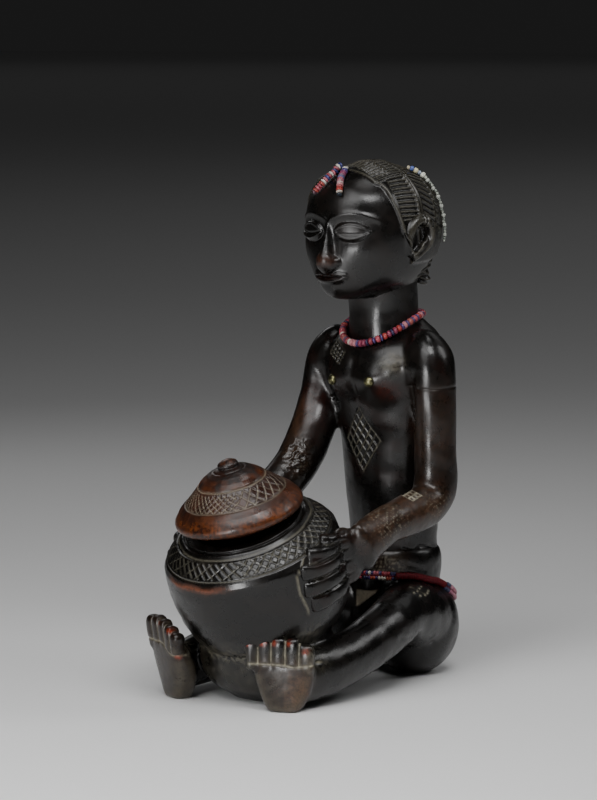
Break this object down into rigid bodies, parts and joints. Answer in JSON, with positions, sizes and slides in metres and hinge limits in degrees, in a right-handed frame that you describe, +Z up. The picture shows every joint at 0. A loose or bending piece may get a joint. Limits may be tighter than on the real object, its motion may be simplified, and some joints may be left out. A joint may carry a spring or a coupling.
{
  "type": "figural bowl bearer",
  "caption": "Seated carved wood figure, legs stretched forward, holding a round lidded bowl between its hands and feet; glass-bead strands and a cloth belt.",
  "frame": {"origin": "on the floor, under the middle of the bounding box", "axes": "+Z up; the figure and the bowl's front face -Y; the figure's left is +X"},
  "size_m": [0.1656, 0.2894, 0.4271],
  "materials": {
    "dark_wood": "black-brown, oiled and polished by handling",
    "lid_wood": "orange-brown, polished by handling",
    "rose_glass": "opaque glass beads, satin",
    "pale_glass": "opaque glass beads, satin",
    "red_cloth": "wound dark red cloth, matte, with beaded stretches",
    "tack_brass": "tarnished, greenish"
  },
  "bodies": {
    "root": {"figure_and_bowl": "dark_wood", "lid": "lid_wood", "necklace": "rose_glass", "forehead_strand_right": "rose_glass", "forehead_strand_left": "rose_glass", "crown_strand": "pale_glass", "waist_belt": "red_cloth", "tack_left": "tack_brass", "tack_right": "tack_brass"}
  },
  "joints": []
}
